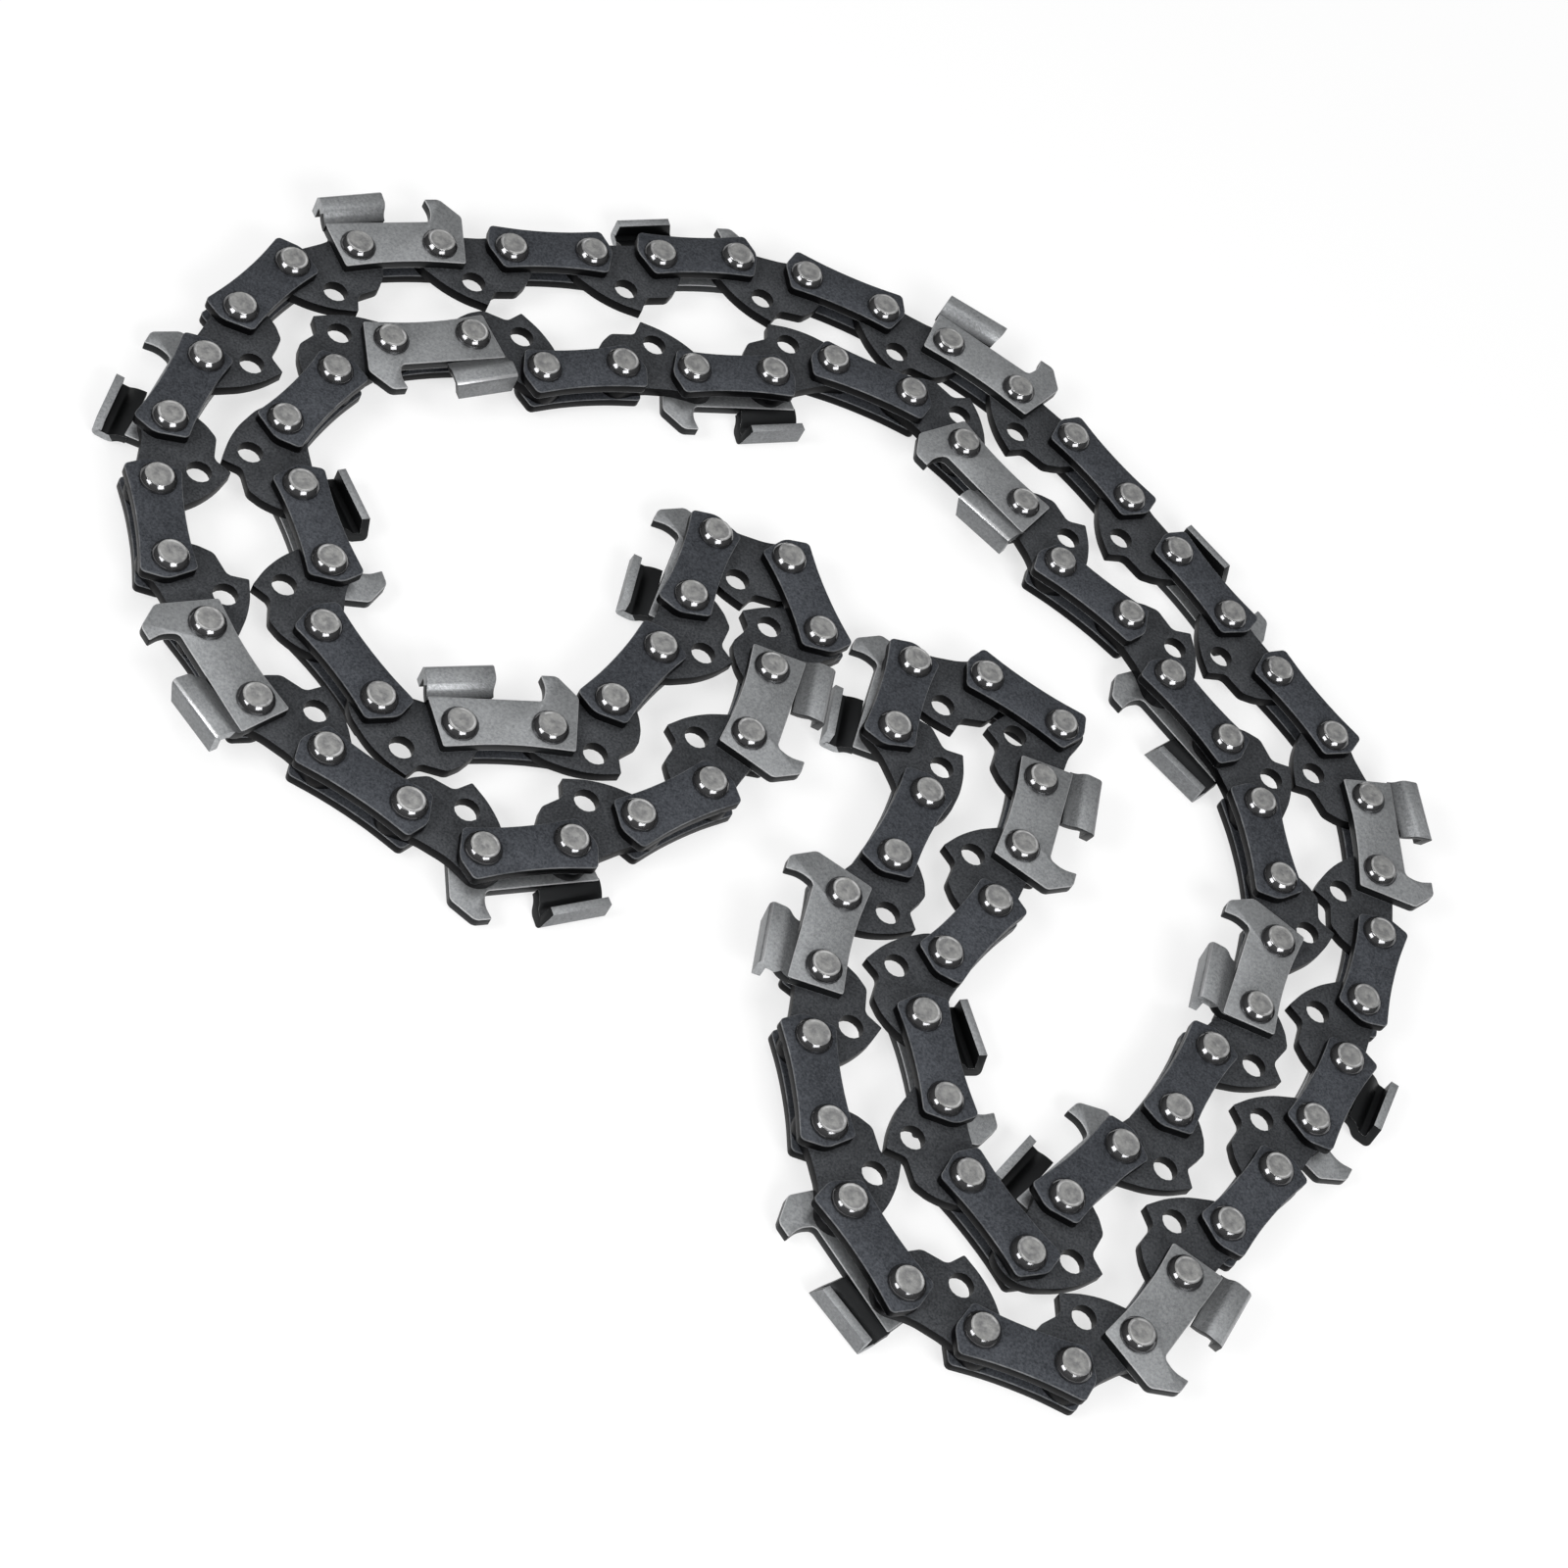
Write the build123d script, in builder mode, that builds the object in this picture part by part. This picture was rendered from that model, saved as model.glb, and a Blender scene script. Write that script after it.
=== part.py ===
# Chainsaw chain: a closed loop of 50 strap pairs and 50 drive links, lying on its side.
# Frame: +Z up, origin on the floor at the middle of the loop, millimetres.
# Each link is drawn with x along the chain's travel and y outwards, on the cutters' side.
import os
from math import cos, radians, sin, tan

from build123d import *

# Chain sizes
strap_spacing = 9.92  # between the two rivets of a strap pair
drive_spacing = 8.72  # between the two rivets of a drive link
gauge = 1.27  # thickness of a drive link
strap_thickness = 1.2
rivet_radius = 2.05  # rivet head
rivet_height = 0.9  # rivet head above its strap
round_sides = 6  # flats that stand for a round, since there are 200 heads and 50 holes

# Strap outline, about the line through its rivets
strap_overhang = 2.8  # past the rivet, at the tip
strap_crown = 3.4  # outer edge at the corners
strap_foot = 2.8  # inner edge at the corners
strap_tip = 0.6  # height of the tip above the rivet line
corner_inset = 0.9  # outer corner behind the tip
foot_inset = 1.4  # inner corner behind the tip
waist_depth = 0.75  # how far both edges draw in between the rivets

# Drive link outline, about the line through its rivets
drive_overhang = 3.2
drive_crown = 3.3
drive_saddle = 2.3  # outer edge between the rivets
saddle_length = 4.4
tang_depth = 7.5  # toe below the rivet line
toe_offset = 0.35  # toe ahead of the middle of the link
notch_depth = 6.2
notch_offset = 1.05
heel_depth = 5.4
heel_offset = 4.25
step_depth = 4.3  # ledge ahead of the heel
step_offset = 5.5
back_depth = 6.0  # bulge of the trailing edge
back_offset = 3.5
shoulder_depth = 1.9  # where the tang leaves the round ends
shoulder_overhang = 2.7
tang_hole_radius = 1.25
tang_hole_depth = 4.2
tang_hole_offset = 0.8  # hole behind the middle of the link

# Cutter: a strap with a depth gauge ahead and a blade bent across the chain
cutter_toe = 2.4  # inner corner past the leading rivet
cutter_heel = 2.2  # inner corner past the trailing rivet
cutter_tail = 2.9  # outer corner past the trailing rivet
gauge_height = 6.7  # depth gauge above the rivet line
gauge_reach = 4.0  # foremost corner past the leading rivet
gauge_shoulder = 4.0  # foremost corner above the rivet line
gauge_top = 2.0  # front end of the gauge's top past the leading rivet
gauge_beak = 0.2  # rear end of the gauge's top past the leading rivet
throat_height = 5.0  # undercut behind the gauge, above the rivet line
throat_offset = 0.5  # undercut past the leading rivet
gullet_offset = 0.1  # front end of the gullet's floor behind the leading rivet
blade_height = 7.4  # cutting edge above the rivet line
blade_length = 7.7
blade_rear = 3.0  # blade's end behind the trailing rivet
blade_relief = 5.0  # degrees that the top plate falls towards its rear
blade_thickness = 1.0
blade_flare = 0.85  # side plate's step past the strap's outer face
flare_length = 1.0
corner_size = 0.65  # rounding between side plate and top plate
top_plate_reach = 0.6  # top plate past the strap's inner face
top_plate_angle = 20.0

# Heading of each strap pair and of the drive link after it, as the loop lies, in degrees
lie = [
    (47, 42), (42, 44), (44, 27), (15, 9), (-1, -11),
    (-20, -22), (-24, -24), (-23, -38), (-61, -70), (-81, -83),
    (-93, -99), (-102, -102), (-99, -121), (-165, -178), (153, 131),
    (126, 109), (103, 74), (93, 141), (102, 30), (0, -83),
    (-79, -87), (-100, -82), (-51, -49), (-24, 85), (74, 68),
    (87, 75), (97, 110), (126, 140), (159, 150), (174, 147),
    (163, 165), (-164, -124), (-138, -140), (-132, -167), (-131, -106),
    (-93, -48), (-41, -64), (-23, 20), (39, 66), (85, 94),
    (101, 20), (-42, -104), (-79, -93), (-115, -118), (-134, -177),
    (-180, 178), (152, 148), (130, 114), (99, 96), (86, 62),
]
# Side of the cutter on every other pair, first to last: U on top, L underneath
cutter_sides = "ULULULULULULLULULULULULUL"


def walk_loop():
    """Rivet centres along the loop, every span at its exact length."""
    rivets = [Vector(0, 0, 0)]
    for headings in lie:
        for span, heading in zip((strap_spacing, drive_spacing), headings):
            rivets.append(rivets[-1] + Vector(span, 0, 0).rotate(Axis.Z, heading))
    drift = rivets.pop() - rivets[0]
    rivets = [p - drift * (i / len(rivets)) for i, p in enumerate(rivets)]
    spans = [strap_spacing, drive_spacing] * len(lie)
    for _ in range(400):
        for i, span in enumerate(spans):
            after = (i + 1) % len(rivets)
            reach = rivets[after] - rivets[i]
            shift = reach * ((reach.length - span) / reach.length / 2)
            rivets[i] += shift
            rivets[after] -= shift
    return rivets


def place_between(first, second):
    """Frame at the middle of a link, its x from the first rivet to the second."""
    along = second - first
    return Location(Plane((first + second) * 0.5, x_dir=along, z_dir=(0, 0, 1)))


rivets = walk_loop()
pairs = list(zip(rivets[0::2], rivets[1::2]))
strap_places = [place_between(a, b) for a, b in pairs]
drive_places = [place_between(b, c) for (_, b), (c, _) in zip(pairs, pairs[1:] + pairs[:1])]
middle_height = gauge / 2 + strap_thickness + max(rivet_height, blade_flare)
upper_seat = Pos(0, 0, middle_height + gauge / 2)
lower_seat = Pos(0, 0, middle_height - gauge / 2)
upper_rest = Pos(0, 0, middle_height + gauge / 2 + strap_thickness)
lower_rest = Pos(0, 0, middle_height - gauge / 2 - strap_thickness - rivet_height)

strap_end = strap_spacing / 2 + strap_overhang
strap_half = [
    (strap_end - foot_inset, -strap_foot),
    (strap_end, strap_tip),
    (strap_end - corner_inset, strap_crown),
]
strap_foot_edge = [(0, waist_depth - strap_foot)]
strap_crown_edge = [(0, strap_crown - waist_depth)]
strap_rear = [(-x, y) for x, y in reversed(strap_half)]

with BuildPart() as tie_strap:
    with BuildSketch():
        with BuildLine():
            Polyline(strap_foot_edge + strap_half + strap_crown_edge + strap_rear, close=True)
        make_face()
    extrude(amount=strap_thickness)

drive_end = drive_spacing / 2 + drive_overhang
drive_ends = [
    (drive_spacing / 2 + shoulder_overhang, -shoulder_depth),
    (drive_end, drive_overhang / 4),
    (drive_spacing / 2 + drive_overhang / 2, drive_crown),
    (saddle_length / 2, drive_saddle),
]
tang = [
    (-back_offset, -back_depth),
    (toe_offset, -tang_depth),
    (notch_offset, -notch_depth),
    (heel_offset, -heel_depth),
    (step_offset, -step_depth),
]

with BuildPart() as drive_link:
    with BuildSketch(Plane.XY.offset(middle_height - gauge / 2)):
        with BuildLine():
            Polyline(tang + drive_ends + [(-x, y) for x, y in reversed(drive_ends)], close=True)
        make_face()
        with Locations((-tang_hole_offset, -tang_hole_depth)):
            RegularPolygon(tang_hole_radius, round_sides, mode=Mode.SUBTRACT)
    extrude(amount=gauge)

blade_start = -strap_spacing / 2 - blade_rear
rear_height = blade_height - blade_length * tan(radians(blade_relief))
crest = strap_thickness + blade_flare
blade_root = strap_crown - strap_thickness
flare_root = strap_crown - waist_depth / 2
blade_section = [
    (blade_root, 0),
    (blade_root, strap_thickness),
    (flare_root, strap_thickness),
    (flare_root + flare_length, crest),
    (rear_height - corner_size, crest),
    (rear_height, crest - corner_size),
    (rear_height, -top_plate_reach),
    (rear_height - blade_thickness, -top_plate_reach),
    (rear_height - blade_thickness, crest - blade_thickness - corner_size),
    (rear_height - blade_thickness - corner_size, crest - blade_thickness),
    (strap_crown, 0),
]
blade_slope = Vector(cos(radians(blade_relief)), sin(radians(blade_relief)), 0)
edge_cut = Plane(
    (blade_start + blade_length, 0, crest),
    z_dir=(cos(radians(top_plate_angle)), 0, -sin(radians(top_plate_angle))),
)
lead = strap_spacing / 2
cutter_outline = strap_foot_edge + [
    (lead + cutter_toe, -strap_foot),
    (lead + gauge_reach, gauge_shoulder),
    (lead + gauge_top, gauge_height),
    (lead + gauge_beak, gauge_height),
    (lead + throat_offset, throat_height),
    (lead - gullet_offset, strap_crown),
    (-lead - cutter_tail, strap_crown),
    (-lead - cutter_heel, -strap_foot),
]

with BuildPart() as cutter:
    with BuildSketch(Plane.YZ.offset(blade_start)):
        with BuildLine():
            Polyline(blade_section, close=True)
        make_face()
    extrude(amount=blade_length / cos(radians(blade_relief)), dir=blade_slope)
    split(bisect_by=edge_cut, keep=Keep.BOTTOM)
    with BuildSketch():
        with BuildLine():
            Polyline(cutter_outline, close=True)
        make_face()
    extrude(amount=strap_thickness)

with BuildPart() as mirrored_strap:
    mirror(tie_strap.part, about=Plane.XY)

with BuildPart() as mirrored_cutter:
    mirror(cutter.part, about=Plane.XY)

with BuildPart() as rivet_head:
    with BuildSketch():
        RegularPolygon(rivet_radius, round_sides, major_radius=False)
    extrude(amount=rivet_height)

finished = {}

# One node for each cutter, and one for each plain pair of tie straps
opposite_places = {"U": [], "L": []}
for number, place in enumerate(strap_places, start=1):
    if number % 2 == 0:
        with BuildPart() as tie_pair:
            with Locations(place * upper_seat):
                add(tie_strap.part)
            with Locations(place * lower_seat):
                add(mirrored_strap.part)
        finished[f"tie_straps_{number:02d}"] = tie_pair.part
        continue
    side = cutter_sides[number // 2]
    with BuildPart() as placed_cutter:
        with Locations(place * (upper_seat if side == "U" else lower_seat)):
            add(cutter.part if side == "U" else mirrored_cutter.part)
    hand = "right" if side == "U" else "left"
    finished[f"{hand}_cutter_{number:02d}"] = placed_cutter.part
    opposite_places["L" if side == "U" else "U"].append(place)

# The plain strap across from each cutter
with BuildPart() as opposite_straps:
    with Locations([place * upper_seat for place in opposite_places["U"]]):
        add(tie_strap.part)
    with Locations([place * lower_seat for place in opposite_places["L"]]):
        add(mirrored_strap.part)
finished["opposite_straps"] = opposite_straps.part

with BuildPart() as drive_links:
    with Locations(drive_places):
        add(drive_link.part)
finished["drive_links"] = drive_links.part

# Both heads of every rivet, turned with their strap pair
head_places = [
    place * Pos(end * strap_spacing / 2, 0, 0) * seat
    for place in strap_places
    for end in (-1, 1)
    for seat in (upper_rest, lower_rest)
]
with BuildPart() as rivet_heads:
    with Locations(head_places):
        add(rivet_head.part)
finished["rivets"] = rivet_heads.part

os.makedirs("parts", exist_ok=True)
middle = Compound(list(finished.values())).bounding_box().center()
for name, part in finished.items():
    centred = Pos(-middle.X, -middle.Y, 0) * part
    centred.label = name
    export_step(centred, f"parts/{name}.step")
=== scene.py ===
import bmesh
import bpy
from math import cos, pi, radians, sin, tan
from mathutils import Matrix, Vector


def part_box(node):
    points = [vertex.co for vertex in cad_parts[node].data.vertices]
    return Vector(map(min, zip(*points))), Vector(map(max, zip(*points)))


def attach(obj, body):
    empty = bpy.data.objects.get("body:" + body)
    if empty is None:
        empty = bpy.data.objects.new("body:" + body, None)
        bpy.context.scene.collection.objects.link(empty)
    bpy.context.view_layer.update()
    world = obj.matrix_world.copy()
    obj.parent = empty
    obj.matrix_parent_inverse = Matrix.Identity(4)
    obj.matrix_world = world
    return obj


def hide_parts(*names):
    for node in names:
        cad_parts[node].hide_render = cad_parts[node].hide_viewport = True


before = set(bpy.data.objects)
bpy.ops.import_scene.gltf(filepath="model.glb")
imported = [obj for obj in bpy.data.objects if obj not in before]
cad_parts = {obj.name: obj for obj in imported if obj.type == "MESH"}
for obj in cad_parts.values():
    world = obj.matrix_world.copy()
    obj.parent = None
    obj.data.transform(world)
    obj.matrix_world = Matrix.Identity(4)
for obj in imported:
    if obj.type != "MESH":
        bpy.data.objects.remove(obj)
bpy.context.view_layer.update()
scene = bpy.context.scene
mm = 0.001
print("frame loaded:", len(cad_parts), "nodes")

# The loop as it lies: heading of each strap pair and of the drive link after it, in degrees
loopLie = {
    "strapSpacing": 9.92,
    "driveSpacing": 8.72,
    "headings": [
        (47, 42), (42, 44), (44, 27), (15, 9), (-1, -11),
        (-20, -22), (-24, -24), (-23, -38), (-61, -70), (-81, -83),
        (-93, -99), (-102, -102), (-99, -121), (-165, -178), (153, 131),
        (126, 109), (103, 74), (93, 141), (102, 30), (0, -83),
        (-79, -87), (-100, -82), (-51, -49), (-24, 85), (74, 68),
        (87, 75), (97, 110), (126, 140), (159, 150), (174, 147),
        (163, 165), (-164, -124), (-138, -140), (-132, -167), (-131, -106),
        (-93, -48), (-41, -64), (-23, 20), (39, 66), (85, 94),
        (101, 20), (-42, -104), (-79, -93), (-115, -118), (-134, -177),
        (-180, 178), (152, 148), (130, 114), (99, 96), (86, 62),
    ],
    "cutterSides": "ULULULULULULLULULULULULUL",  # every other pair; U on top, L underneath
    "settlePasses": 400,
}

# Thicknesses of the stack
stack = {"gauge": 1.27, "strap": 1.2, "head": 0.9}
middleHeight = stack["gauge"] / 2 + stack["strap"] + stack["head"]
upperSeat = middleHeight + stack["gauge"] / 2
lowerSeat = middleHeight - stack["gauge"] / 2


def walkLoop():
    spans = [loopLie["strapSpacing"], loopLie["driveSpacing"]] * len(loopLie["headings"])
    headings = [h for pair in loopLie["headings"] for h in pair]
    rivets = [Vector((0, 0))]
    for span, heading in zip(spans, headings):
        rivets.append(rivets[-1] + span * Vector((cos(radians(heading)), sin(radians(heading)))))
    drift = rivets.pop() - rivets[0]
    rivets = [p - drift * (i / len(spans)) for i, p in enumerate(rivets)]
    for _ in range(loopLie["settlePasses"]):
        for i, span in enumerate(spans):
            after = (i + 1) % len(spans)
            reach = rivets[after] - rivets[i]
            shift = reach * ((reach.length - span) / reach.length / 2)
            rivets[i] = rivets[i] + shift
            rivets[after] = rivets[after] - shift
    return rivets


def linkFrame(first, second):
    along = (second - first).normalized()
    middle = (first + second) / 2
    return Matrix((
        (along.x, -along.y, 0, middle.x),
        (along.y, along.x, 0, middle.y),
        (0, 0, 1, 0),
        (0, 0, 0, 1),
    ))


# How every mesh is cut and marked, in mm and degrees
meshing = {
    "smallCorner": 0.3,  # corners under this take the few steps
    "fewSteps": 3,
    "manySteps": 6,
    "rimAngle": 50,  # edges that turn more than this are broken
    "rimSteps": 2,
    "smoothAngle": 40,  # edges that turn more than this stay crisp in the shading
    "sideTilt": 0.3,  # normals with less height than this belong to a sheared side
    "localSpan": 20,  # width of the local map
    "cutDistance": 1e-5,
    "mergeDistance": 1e-4,
}


def startMesh():
    bm = bmesh.new()
    bm.loops.layers.uv.new("local")
    bm.faces.layers.float.new("rim")
    bm.faces.layers.float.new("dark")
    return bm


def asMesh(bm, name):
    mesh = bpy.data.meshes.new(name)
    bm.to_mesh(mesh)
    bm.free()
    return mesh


def asMaster(bm, name, lift=0):
    local = bm.loops.layers.uv["local"]
    span = meshing["localSpan"]
    for face in bm.faces:
        for loop in face.loops:
            spot = loop.vert.co
            loop[local].uv = (spot.x / span + 0.5, (spot.y + spot.z * lift) / span + 0.5)
    return asMesh(bm, name)


def addObject(name, data):
    item = bpy.data.objects.new(name, data)
    scene.collection.objects.link(item)
    return item


def bevel(bm, geom, size, steps, affect="EDGES"):
    return bmesh.ops.bevel(
        bm, geom=geom, offset=size, offset_type="OFFSET", affect=affect, segments=steps,
        profile=0.5, material=-1, clamp_overlap=True,
    )


def mirrored(corners):
    return [(-x, y, size) for x, y, size in reversed(corners)]


def roundedFace(bm, corners):
    made = [(bm.verts.new((x, y, 0)), size) for x, y, size in corners]
    bm.faces.new([v for v, _ in made])
    for size in sorted({s for _, s in made}):
        steps = meshing["fewSteps"] if size < meshing["smallCorner"] else meshing["manySteps"]
        bevel(bm, [v for v, s in made if s == size], size, steps, "VERTICES")


def softenRims(bm, edge):
    limit = radians(meshing["rimAngle"])
    sharp = [e for e in bm.edges if e.is_manifold and e.calc_face_angle() > limit]
    rim = bm.faces.layers.float["rim"]
    dark = bm.faces.layers.float["dark"]
    # the broken edges are lightened in the finishes, as wear and as painted edge highlight
    for face in bevel(bm, sharp, edge, meshing["rimSteps"])["faces"]:
        face[rim] = 1.0
        face[dark] = 0.0


def thicken(bm, thickness, edge):
    bmesh.ops.recalc_face_normals(bm, faces=bm.faces[:])
    bmesh.ops.solidify(bm, geom=bm.faces[:], thickness=thickness)
    low = min(v.co.z for v in bm.verts)
    bmesh.ops.translate(bm, vec=(0, 0, -low), verts=bm.verts[:])
    bmesh.ops.recalc_face_normals(bm, faces=bm.faces[:])
    dark = bm.faces.layers.float["dark"]
    for face in bm.faces:
        face[dark] = float(abs(face.normal.z) < meshing["sideTilt"])  # painted shade on the sheared side walls all round
    softenRims(bm, edge)


# Outlines in mm, x along the chain's travel and y outwards, each corner with its rounding
strapShape = {
    "half": [(6.36, -2.8, 0.5), (7.76, 0.6, 0.7), (6.86, 3.4, 0.5)],
    "footWaist": (0, -2.05, 4.2),
    "crownWaist": (0, 2.65, 4.2),
    "edge": 0.1,
}


def makeStrap():
    bm = startMesh()
    half = strapShape["half"]
    waists = strapShape["footWaist"], strapShape["crownWaist"]
    roundedFace(bm, [waists[0]] + half + [waists[1]] + mirrored(half))
    thicken(bm, stack["strap"], strapShape["edge"])
    return asMaster(bm, "strapMaster")


driveShape = {
    "tang": [
        (-3.4, -5.9, 2.2), (0.25, -7.5, 0.15), (1.4, -5.5, 0.5), (4.35, -5.35, 0.4),
        (5.65, -4.1, 0.4),
    ],
    "front": [(7.05, -1.9, 1.4), (7.5, 1.3, 1.6), (5.5, 3.35, 1.1), (1.9, 2.3, 0.9)],
    "hole": (-0.8, -4.2),
    "holeRadius": 1.38,
    "holeSteps": 16,
    "edge": 0.09,
}


def makeDriveLink():
    bm = startMesh()
    front = driveShape["front"]
    roundedFace(bm, driveShape["tang"] + front + mirrored(front))
    bmesh.ops.delete(bm, geom=bm.faces[:], context="FACES_ONLY")  # filled again around the hole
    bmesh.ops.create_circle(
        bm, segments=driveShape["holeSteps"], radius=driveShape["holeRadius"],
        matrix=Matrix.Translation((*driveShape["hole"], 0)),
    )
    bmesh.ops.triangle_fill(
        bm, edges=bm.edges[:], use_beauty=True, use_dissolve=False, normal=(0, 0, 1)
    )
    thicken(bm, stack["gauge"], driveShape["edge"])
    bmesh.ops.translate(bm, vec=(0, 0, lowerSeat), verts=bm.verts[:])
    return asMaster(bm, "driveMaster")


cutterShape = {
    "plate": [
        (0, -2.05, 3.6), (7.36, -2.8, 0.25), (8.96, 4.0, 0.4), (6.96, 6.7, 0.45), (5.16, 6.7, 0.15),
        (5.46, 5.0, 0.7), (4.86, 3.4, 0.5), (-7.86, 3.4, 0.2), (-7.16, -2.8, 0.3),
    ],
    # the blade's outer face, height and level: foot, flare, crest, bend and free edge
    "bladePath": [(3.02, 1.14), (3.6, 1.16), (4.65, 2.05), (6.73, 2.05), (6.73, -0.6)],
    "bendRounding": (0.5, 0.45, 0.6),
    "bendSteps": 5,
    "bladeStart": -7.96,
    "bladeLength": 7.7,
    "relief": 5,
    "bladeThickness": 0.95,
    "edgeAngle": 20,
    "edge": 0.09,
    "near": 0.01,  # how close an edge lies to the bend it belongs to
}
# Painted shade and painted highlight on the blade, and the leans of the normals that tell its faces
# apart
bladeMarks = {
    "crease": 0.85,
    "under": 1.0,
    "topPlate": 0.45,
    "bend": 0.9,
    "wallShare": 0.8,  # of the thickness, past which a face lies inside the bend
    "creaseLean": 0.3,
    "topLean": 0.8,
    "bendLean": 0.2,
}


def markBlade(bm):
    dark = bm.faces.layers.float["dark"]
    rim = bm.faces.layers.float["rim"]
    path = cutterShape["bladePath"]
    foot, flareTop, (top, crest) = path[0][0], path[2][0], path[-2]
    wall = cutterShape["bladeThickness"] * bladeMarks["wallShare"]
    bendLean = bladeMarks["bendLean"]
    for face in bm.faces:
        middle = face.calc_center_median()
        rise = (middle.x - cutterShape["bladeStart"]) * tan(radians(cutterShape["relief"]))
        climb = (middle.y - rise - foot) / (flareTop - foot)
        if face.normal.z > bladeMarks["creaseLean"] and climb < 1:  # painted shade in the crease where it leaves the plate, darkest at the foot
            face[dark] = bladeMarks["crease"] * (1 - max(climb, 0))
        elif middle.y < top + rise - wall and middle.z < crest - wall:  # painted shade under the top plate
            face[dark] = bladeMarks["under"]
        elif face.normal.y > bladeMarks["topLean"]:  # painted shade on the top plate's outer face, darker than the crest
            face[dark] = bladeMarks["topPlate"]
        elif face.normal.y > bendLean and face.normal.z > bendLean:  # painted highlight along the bend
            face[rim] = bladeMarks["bend"]


def makeCutter():
    shape = cutterShape
    bm = startMesh()
    roundedFace(bm, shape["plate"])
    thicken(bm, stack["strap"], shape["edge"])
    plate = asMesh(bm, "cutterPlate")

    # the blade: its outer face drawn out along the relief, rounded at the bends, then given a wall
    bm = startMesh()
    start, length, near = shape["bladeStart"], shape["bladeLength"], shape["near"]
    path = [bm.verts.new((start, y, z)) for y, z in shape["bladePath"]]
    edges = [bm.edges.new(pair) for pair in zip(path, path[1:])]
    drawn = bmesh.ops.extrude_edge_only(bm, edges=edges)
    moved = [g for g in drawn["geom"] if isinstance(g, bmesh.types.BMVert)]
    rise = length * tan(radians(shape["relief"]))
    bmesh.ops.translate(bm, vec=(length, rise, 0), verts=moved)
    for (height, level), size in zip(shape["bladePath"][1:], shape["bendRounding"]):
        bend = [
            e for e in bm.edges
            if len(e.link_faces) == 2 and all(abs(v.co.z - level) < near for v in e.verts)
            and abs(min(v.co.y for v in e.verts) - height) < near
        ]
        bevel(bm, bend, size, shape["bendSteps"])
    bmesh.ops.recalc_face_normals(bm, faces=bm.faces[:])
    outward = max(bm.faces, key=lambda f: f.calc_center_median().y).normal.y > 0
    wall = shape["bladeThickness"] * (1 if outward else -1)
    bmesh.ops.solidify(bm, geom=bm.faces[:], thickness=wall)
    slant = radians(shape["edgeAngle"])
    cut = bmesh.ops.bisect_plane(
        bm, geom=bm.verts[:] + bm.edges[:] + bm.faces[:], dist=meshing["cutDistance"],
        plane_co=(start + length, 0, shape["bladePath"][-2][1]),
        plane_no=(cos(slant), 0, -sin(slant)), clear_outer=True,
    )
    rim = [g for g in cut["geom_cut"] if isinstance(g, bmesh.types.BMEdge)]
    bmesh.ops.holes_fill(bm, edges=rim, sides=0)
    bmesh.ops.recalc_face_normals(bm, faces=bm.faces[:])
    markBlade(bm)
    softenRims(bm, shape["edge"])
    bm.from_mesh(plate)
    bpy.data.meshes.remove(plate)
    return asMaster(bm, "cutterMaster", lift=-1)  # the strokes turn the corner with the blade


# Radius and height up the side of a head
rivetShape = {
    "profile": [(2.05, 0), (2.05, 0.28), (1.97, 0.45), (1.68, 0.77), (1.54, 0.9)],
    "steps": 18,
}


def makeRivetHead():
    bm = startMesh()
    profile = [bm.verts.new((r, 0, z)) for r, z in rivetShape["profile"]]
    edges = [bm.edges.new(pair) for pair in zip(profile, profile[1:])]
    bmesh.ops.spin(
        bm, geom=profile + edges, cent=(0, 0, 0), axis=(0, 0, 1), angle=2 * pi,
        steps=rivetShape["steps"], use_merge=True,
    )
    bmesh.ops.remove_doubles(bm, verts=bm.verts[:], dist=meshing["mergeDistance"])
    bmesh.ops.holes_fill(bm, edges=[e for e in bm.edges if e.is_boundary], sides=0)
    bmesh.ops.recalc_face_normals(bm, faces=bm.faces[:])
    return asMaster(bm, "rivetMaster")


def assemble(name, copies, material, nodeNames):
    bm = bmesh.new()
    for master, place in copies:
        oldVerts, oldFaces = len(bm.verts), len(bm.faces)
        bm.from_mesh(master)
        bm.verts.ensure_lookup_table()
        bm.faces.ensure_lookup_table()
        bmesh.ops.transform(bm, matrix=place, verts=bm.verts[oldVerts:])
        if place.determinant() < 0:
            bmesh.ops.reverse_faces(bm, faces=bm.faces[oldFaces:])
    bmesh.ops.scale(bm, vec=(mm, mm, mm), verts=bm.verts[:])
    for face in bm.faces:
        face.smooth = True
    limit = radians(meshing["smoothAngle"])
    for edge in bm.edges:
        edge.smooth = not (edge.is_manifold and edge.calc_face_angle() > limit)
    mesh = asMesh(bm, name)
    mesh.materials.append(material)
    piece = addObject(name, mesh)
    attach(piece, "root")
    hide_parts(*nodeNames)


class Wire:
    def __init__(self, finish, socket):
        self.finish = finish
        self.socket = socket

    def maths(self, operation, first, second):
        return self.finish.add("ShaderNodeMath", {"operation": operation}, {0: first, 1: second})

    def __add__(self, other):
        return self.maths("ADD", self, other)

    def __sub__(self, other):
        return self.maths("SUBTRACT", self, other)

    def __rsub__(self, other):
        return self.maths("SUBTRACT", other, self)

    def __mul__(self, other):
        return self.maths("MULTIPLY", self, other)

    __radd__ = __add__
    __rmul__ = __mul__


def setStops(elements, stops):
    while len(elements) < len(stops):
        elements.new(1)
    for stop, (place, shade) in zip(elements, stops):
        stop.position = place
        stop.color = (shade, shade, shade, 1)


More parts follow.
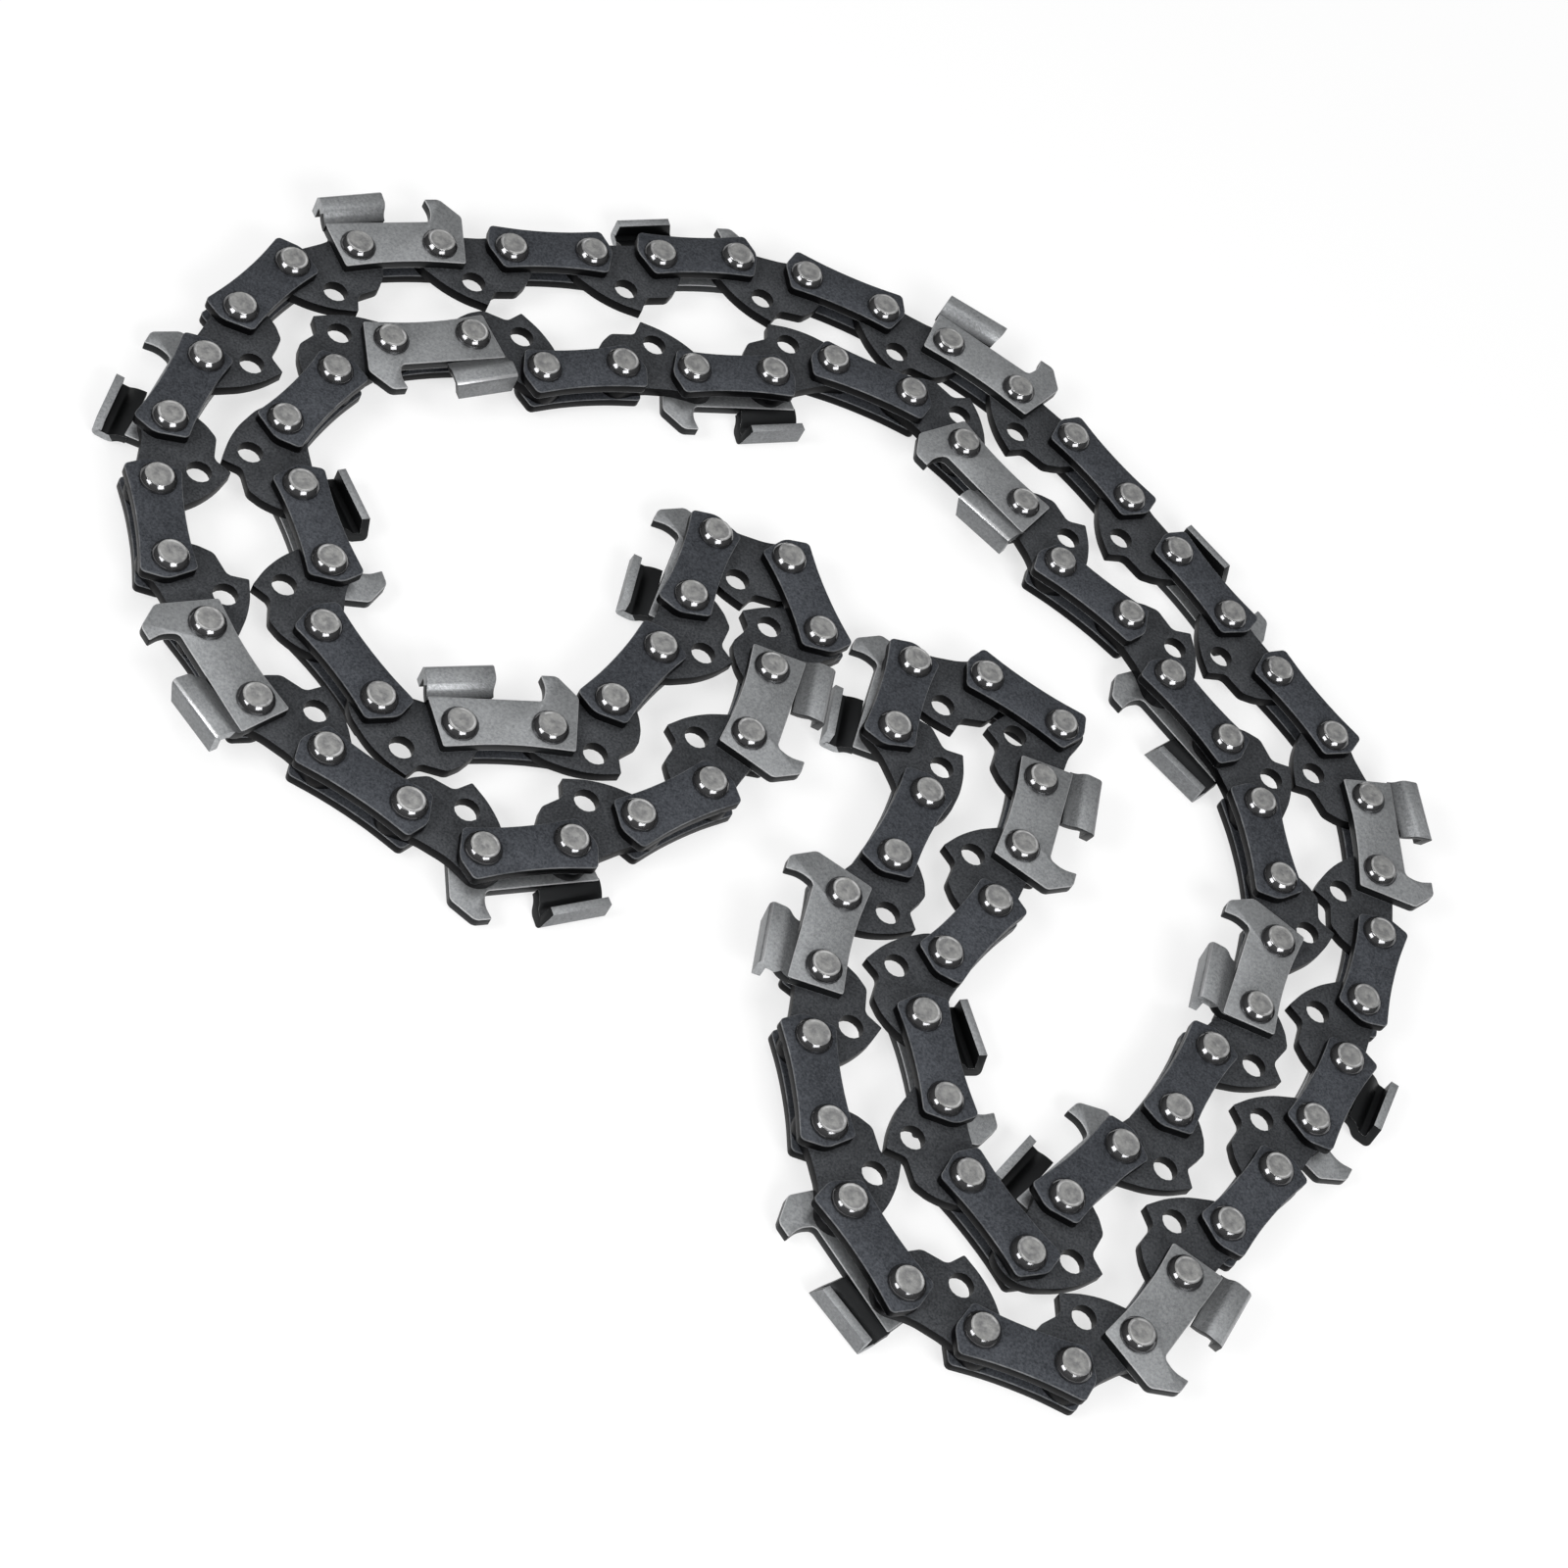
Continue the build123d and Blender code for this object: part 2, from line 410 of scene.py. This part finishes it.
class Finish:
    def __init__(self, name):
        self.material = bpy.data.materials.new(name)
        self.material.use_nodes = True
        self.tree = self.material.node_tree
        self.shader = self.tree.nodes["Principled BSDF"]

    def add(self, kind, settings=None, sockets=None, out=0):
        node = self.tree.nodes.new(kind)
        for key, value in (settings or {}).items():
            if key == "stops":
                setStops(node.color_ramp.elements, value)
            else:
                setattr(node, key, value)
        for key, value in (sockets or {}).items():
            self.feed(node.inputs[key], value)
        return Wire(self, node.outputs[out])

    def feed(self, target, value):
        if isinstance(value, Wire):
            self.tree.links.new(value.socket, target)
        else:
            target.default_value = value

    def set(self, **sockets):
        for key, value in sockets.items():
            self.feed(self.shader.inputs[key.replace("_", " ")], value)

    def place(self):
        return self.add("ShaderNodeTexCoord", out="Object")

    def local(self):
        return self.add("ShaderNodeUVMap", {"uv_map": "local"})

    def marked(self, name):
        return self.add("ShaderNodeAttribute", {"attribute_name": name}, out="Fac")

    def noise(self, where, scale, detail=3.0, rough=0.55):
        sockets = {"Vector": where, "Scale": scale, "Detail": detail, "Roughness": rough}
        return self.add("ShaderNodeTexNoise", None, sockets)

    def stretch(self, where, factors):
        sockets = {"Vector": where, "Scale": factors}
        return self.add("ShaderNodeMapping", {"vector_type": "POINT"}, sockets)

    def length(self, vector):
        return self.add("ShaderNodeVectorMath", {"operation": "LENGTH"}, {0: vector}, out="Value")

    def ramp(self, value, *stops):
        return self.add("ShaderNodeValToRGB", {"stops": stops}, {"Fac": value})

    def blend(self, factor, first, second):
        settings = {"data_type": "RGBA", "clamp_factor": True}
        return self.add("ShaderNodeMix", settings, {0: factor, 6: first, 7: second}, out=2)

    def bump(self, height, strength, depth):
        sockets = {"Height": height, "Strength": strength, "Distance": depth}
        return self.add("ShaderNodeBump", None, sockets)


# Blue-black oxide on straps and drive links; each noise has scale, detail and roughness
oxideLook = {
    "strap": {
        "deep": (0.036, 0.039, 0.045, 1),
        "pale": (0.1, 0.107, 0.121, 1),
        "bareAndHighlight": (0.3, 0.305, 0.31, 1),
    },
    "drive": {
        "deep": (0.032, 0.034, 0.037, 1),
        "pale": (0.087, 0.091, 0.098, 1),
        "bareAndHighlight": (0.26, 0.263, 0.265, 1),
    },
    # painted shade for the side walls, near black
    "dark": (0.004, 0.004, 0.0045, 1),
    "metallic": 0.6,
    "specular": 0.12,
    "roughness": 0.36,
    "speckleRoughness": 0.16,
    "wornPolish": 0.1,
    "cloud": (90, 2.0),
    "scuff": (520, 4.0, 0.65),
    "speckle": (3800, 2.0, 0.7),
    "shares": (0.1, 0.2, 0.7),  # of cloud, scuff and speckle in the tone
    "tone": ((0.35, 0.0), (0.65, 1.0)),
    "edgeWearAndHighlight": ((0.35, 0.2), (0.65, 1.0)),
    # share of the edge lightening, partly wear and partly painted highlight
    "bareAndHighlightShare": 0.55,
    "bump": (0.2, 0.00003),
}


def makeOxide(name, shades):
    look = oxideLook
    finish = Finish(name)
    where = finish.place()
    cloud = finish.noise(where, *look["cloud"])
    speckle = finish.noise(where, *look["speckle"])
    scuff = finish.noise(where, *look["scuff"])
    # worn edges, lightened partly as wear and partly as painted edge highlight
    wornAndHighlit = finish.marked("rim") * finish.ramp(scuff, *look["edgeWearAndHighlight"])
    clouded, scuffed, speckled = look["shares"]
    mixed = cloud * clouded + scuff * scuffed + speckle * speckled
    colour = finish.blend(finish.ramp(mixed, *look["tone"]), shades["deep"], shades["pale"])
    # painted shade on the side walls
    colour = finish.blend(finish.marked("dark"), colour, look["dark"])
    colour = finish.blend(wornAndHighlit * look["bareAndHighlightShare"], colour, shades["bareAndHighlight"])
    rough = look["roughness"] + look["speckleRoughness"] * speckle - look["wornPolish"] * wornAndHighlit
    finish.set(
        Base_Color=colour,
        Metallic=look["metallic"],
        Specular_IOR_Level=look["specular"],
        Roughness=rough,
        Normal=finish.bump(speckle, *look["bump"]),
    )
    return finish.material


# Bright cutters, brushed along the chain
cutterLook = {
    "deep": (0.2, 0.207, 0.213, 1),
    "pale": (0.52, 0.533, 0.545, 1),
    # bare steel for worn edges, also the painted highlight on the edges and on the blade's bend
    "bareAndHighlight": (0.75, 0.75, 0.76, 1),
    # painted shade for the side walls, the blade's crease, its underside and its top plate
    "dark": (0.02, 0.021, 0.022, 1),
    "metallic": 0.85,
    "roughness": 0.34,
    "strokeRoughness": 0.18,
    "strokes": (6, 3.0, 0.6),
    "strokeStretch": (9, 130, 1),
    "cloud": (160, 3.0),
    "speckle": (3000, 2.0, 0.7),
    "shares": (0.5, 0.2, 0.3),  # of strokes, cloud and speckle in the tone
    "tone": ((0.37, 0.0), (0.64, 1.0)),
    "bareAndHighlightShare": 0.45,
    "grain": (0.7, 0.3),  # shares of strokes and speckle in the bump
    "bump": (0.2, 0.00005),
}


def makeCutterSteel():
    look = cutterLook
    finish = Finish("cutterSteel")
    where = finish.place()
    brushed = finish.stretch(finish.local(), look["strokeStretch"])
    strokes = finish.noise(brushed, *look["strokes"])
    cloud = finish.noise(where, *look["cloud"])
    speckle = finish.noise(where, *look["speckle"])
    stroked, clouded, speckled = look["shares"]
    mixed = strokes * stroked + cloud * clouded + speckle * speckled
    colour = finish.blend(finish.ramp(mixed, *look["tone"]), look["deep"], look["pale"])
    # painted shade from the side walls and the blade's marks
    colour = finish.blend(finish.marked("dark"), colour, look["dark"])
    # edges lightened as wear and painted edge highlight, and the painted highlight on the blade's
    # bend
    colour = finish.blend(finish.marked("rim") * look["bareAndHighlightShare"], colour, look["bareAndHighlight"])
    coarse, fine = look["grain"]
    finish.set(
        Base_Color=colour,
        Metallic=look["metallic"],
        Roughness=look["roughness"] + look["strokeRoughness"] * strokes,
        Normal=finish.bump(strokes * coarse + speckle * fine, *look["bump"]),
    )
    return finish.material


# Rivets: spun pale tops and dark rounded rims
rivetLook = {
    "rim": (0.095, 0.095, 0.098, 1),
    "top": (0.52, 0.52, 0.505, 1),
    "groove": (0.24, 0.24, 0.245, 1),
    # a light ring just inside the top's edge, broken up by noise
    "ring": (0.85, 0.85, 0.85, 1),
    "topRadius": 1.55,
    "ringRadius": 1.34,
    "rampScale": 0.4,  # share of a ramp for each mm of radius
    "topEnd": ((0.49, 1.0), (0.51, 0.0)),
    "ringBand": ((0.44, 0.0), (0.49, 1.0), (0.51, 1.0), (0.56, 0.0)),
    "ringBreakup": ((0.42, 0.0), (0.62, 0.8)),
    "speckle": (2600, 3.0, 0.7),
    "waver": (700, 2.0),
    "swirlPitch": 4.2,
    "swirlWaver": 4,
    "shares": (0.12, 0.75),  # of swirl and speckle in the grooves
    "grooveLift": 0.12,
    "grooveTone": ((0.25, 0.0), (0.8, 1.0)),
    "metallic": 0.85,
    "rimRoughness": 0.11,
    "topRoughness": 0.31,  # above the rim's
    "bump": (0.35, 0.00008),
}


def makeRivetSteel():
    look = rivetLook
    finish = Finish("rivetSteel")
    where = finish.place()
    centred = finish.add(
        "ShaderNodeVectorMath", {"operation": "SUBTRACT"}, {0: finish.local(), 1: (0.5, 0.5, 0)}
    )
    radius = finish.length(centred) * meshing["localSpan"]
    across = finish.add("ShaderNodeSeparateXYZ", None, {0: centred}, out="X")
    outwards = finish.add("ShaderNodeSeparateXYZ", None, {0: centred}, out="Y")
    angle = outwards.maths("ARCTAN2", outwards, across)
    speckle = finish.noise(where, *look["speckle"])
    waver = finish.noise(where, *look["waver"])
    spiral = radius * look["swirlPitch"] + angle + waver * look["swirlWaver"]
    swirl = finish.add("ShaderNodeMath", {"operation": "SINE"}, {0: spiral})
    swirled, speckled = look["shares"]
    mixed = swirl * swirled + speckle * speckled + look["grooveLift"]
    groove = finish.ramp(mixed, *look["grooveTone"])

    def about(ring):  # half way up the ramp at that radius
        return radius * look["rampScale"] - ring * look["rampScale"] + 0.5

    onTop = finish.ramp(about(look["topRadius"]), *look["topEnd"])
    ring = finish.ramp(about(look["ringRadius"]), *look["ringBand"])
    top = finish.blend(groove, look["groove"], look["top"])
    top = finish.blend(ring * finish.ramp(waver, *look["ringBreakup"]), top, look["ring"])
    finish.set(
        Base_Color=finish.blend(onTop, look["rim"], top),
        Metallic=look["metallic"],
        Roughness=look["rimRoughness"] + look["topRoughness"] * onTop,
        Normal=finish.bump(groove * onTop, *look["bump"]),
    )
    return finish.material


rivets = walkLoop()
pairs = list(zip(rivets[0::2], rivets[1::2]))
strapFrames = [linkFrame(a, b) for a, b in pairs]
driveFrames = [linkFrame(b, c) for (_, b), (c, _) in zip(pairs, pairs[1:] + pairs[:1])]

# Set the walked loop on the frame by the box of the first plain strap pair
probe = strapFrames[1]
outline = [(0, strapShape["footWaist"][1]), (0, strapShape["crownWaist"][1])]
outline += [(side * x, y) for x, y, _ in strapShape["half"] for side in (-1, 1)]
turned = [probe @ Vector((x, y, 0)) for x, y in outline]
probeMiddle = Vector([
    (min(p[axis] for p in turned) + max(p[axis] for p in turned)) / 2 for axis in range(2)
])
nodeLow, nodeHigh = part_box("tie_straps_02")
shift = (nodeLow + nodeHigh).xy / 2 / mm - probeMiddle
seat = Matrix.Translation((shift.x, shift.y, 0))
strapFrames = [seat @ f for f in strapFrames]
driveFrames = [seat @ f for f in driveFrames]
print("loop seated, moved by", tuple(round(v, 3) for v in shift))

flip = Matrix.Diagonal((1, 1, -1, 1))
atUpper = Matrix.Translation((0, 0, upperSeat))
atLower = Matrix.Translation((0, 0, lowerSeat)) @ flip

strapMesh = makeStrap()
driveMesh = makeDriveLink()
cutterMesh = makeCutter()
headMesh = makeRivetHead()
masters = (strapMesh, driveMesh, cutterMesh, headMesh)
strapSteel = makeOxide("strapSteel", oxideLook["strap"])
driveSteel = makeOxide("driveSteel", oxideLook["drive"])
cutterSteel = makeCutterSteel()
rivetSteel = makeRivetSteel()
print("masters:", [(m.name, len(m.polygons)) for m in masters])

opposite = []
for number, place in enumerate(strapFrames, start=1):
    if number % 2 == 0:
        node = f"tie_straps_{number:02d}"
        straps = [(strapMesh, place @ atUpper), (strapMesh, place @ atLower)]
        assemble(node.replace("_", "."), straps, strapSteel, [node])
        continue
    upper = loopLie["cutterSides"][number // 2] == "U"
    node = f"{'right' if upper else 'left'}_cutter_{number:02d}"
    cutters = [(cutterMesh, place @ (atUpper if upper else atLower))]
    assemble(node.replace("_", "."), cutters, cutterSteel, [node])
    opposite.append((strapMesh, place @ (atLower if upper else atUpper)))
assemble("oppositeStraps", opposite, strapSteel, ["opposite_straps"])
links = [(driveMesh, place) for place in driveFrames]
assemble("driveLinks", links, driveSteel, ["drive_links"])
heads = []
for place in strapFrames:
    for end in (-1, 1):
        onRivet = place @ Matrix.Translation((end * loopLie["strapSpacing"] / 2, 0, 0))
        heads.append((headMesh, onRivet @ Matrix.Translation((0, 0, upperSeat + stack["strap"]))))
        heads.append((headMesh, onRivet @ Matrix.Translation((0, 0, stack["head"])) @ flip))
assemble("rivetHeads", heads, rivetSteel, ["rivets"])
for master in masters:
    bpy.data.meshes.remove(master)
print("loop assembled")

# Floor and world
stageLook = {
    "floorSize": 12.0,
    "floorDrop": 0.0002,
    "glow": ((0.12, 0.68), (0.35, 1.0)),  # metres from the middle, and share of plain white
    "dome": ((0.05, 0.12), (0.8, 0.5)),  # height on the dome, and its brightness
}


def viewedDirectly(finish):
    camera, glossy, through = [
        finish.add("ShaderNodeLightPath", out=name)
        for name in ("Is Camera Ray", "Is Glossy Ray", "Is Transmission Ray")
    ]
    seen = camera + glossy + through
    seen.socket.node.use_clamp = True
    return seen


def makeFloor():
    bm = bmesh.new()
    bmesh.ops.create_grid(bm, x_segments=1, y_segments=1, size=stageLook["floorSize"] / 2)
    bmesh.ops.translate(bm, vec=(0, 0, -stageLook["floorDrop"]), verts=bm.verts[:])
    mesh = asMesh(bm, "floor")
    floor = addObject("floor", mesh)
    finish = Finish("floorWhite")
    finish.set(Base_Color=(1, 1, 1, 1), Roughness=1.0)
    glow = finish.add("ShaderNodeEmission", None, {"Color": (1, 1, 1, 1), "Strength": 1.0})
    away = finish.length(finish.place())
    share = viewedDirectly(finish) * finish.ramp(away, *stageLook["glow"])
    plain = Wire(finish, finish.shader.outputs[0])
    mixed = finish.add("ShaderNodeMixShader", None, {0: share, 1: plain, 2: glow})
    finish.feed(finish.tree.nodes["Material Output"].inputs["Surface"], mixed)
    mesh.materials.append(finish.material)


makeFloor()

world = bpy.data.worlds.new("studio")
world.use_nodes = True
scene.world = world
dome = world.node_tree
facing = dome.nodes.new("ShaderNodeTexCoord")
height = dome.nodes.new("ShaderNodeSeparateXYZ")
shade = dome.nodes.new("ShaderNodeValToRGB")
setStops(shade.color_ramp.elements, stageLook["dome"])
dome.links.new(facing.outputs["Generated"], height.inputs["Vector"])
dome.links.new(height.outputs["Z"], shade.inputs["Fac"])
dome.links.new(shade.outputs["Color"], dome.nodes["Background"].inputs["Color"])

# Lamps, aimed at the middle of the loop: degrees, metres and watts
lampSet = {
    "left": {"heading": 232, "elevation": 36, "distance": 0.75, "size": (0.34, 0.22), "power": 2.9},
    "front": {"heading": -42, "elevation": 36, "distance": 0.75, "size": (0.42, 0.22), "power": 3.5},
    "over": {"heading": 120, "elevation": 75, "distance": 0.9, "size": (0.5, 0.5), "power": 0.8},
}
for name, lamp in lampSet.items():
    light = bpy.data.lights.new(name, "AREA")
    light.shape = "RECTANGLE"
    light.size, light.size_y = lamp["size"]
    light.energy = lamp["power"]
    holder = addObject(name, light)
    holder.matrix_world = (
        Matrix.Rotation(radians(lamp["heading"] + 90), 4, "Z")
        @ Matrix.Rotation(radians(90 - lamp["elevation"]), 4, "X")
        @ Matrix.Translation((0, 0, lamp["distance"]))
    )

# The photograph's view
cameraView = {
    "place": (4.301, -272.94, 302.1),
    "heading": -0.084,
    "elevation": 48.9,
    "roll": 33.57,
    "lens": 85.74,
    "sensor": 36,
    "clipStart": 0.01,
}
camera = bpy.data.cameras.new("camera")
camera.lens = cameraView["lens"]
camera.sensor_width = cameraView["sensor"]
camera.clip_start = cameraView["clipStart"]
eye = addObject("camera", camera)
eye.matrix_world = (
    Matrix.Translation(Vector(cameraView["place"]) * mm)
    @ Matrix.Rotation(radians(cameraView["heading"]), 4, "Z")
    @ Matrix.Rotation(radians(90 - cameraView["elevation"]), 4, "X")
    @ Matrix.Rotation(radians(cameraView["roll"]), 4, "Z")
)
scene.camera = eye
scene.view_settings.view_transform = "Standard"
print("stage set")
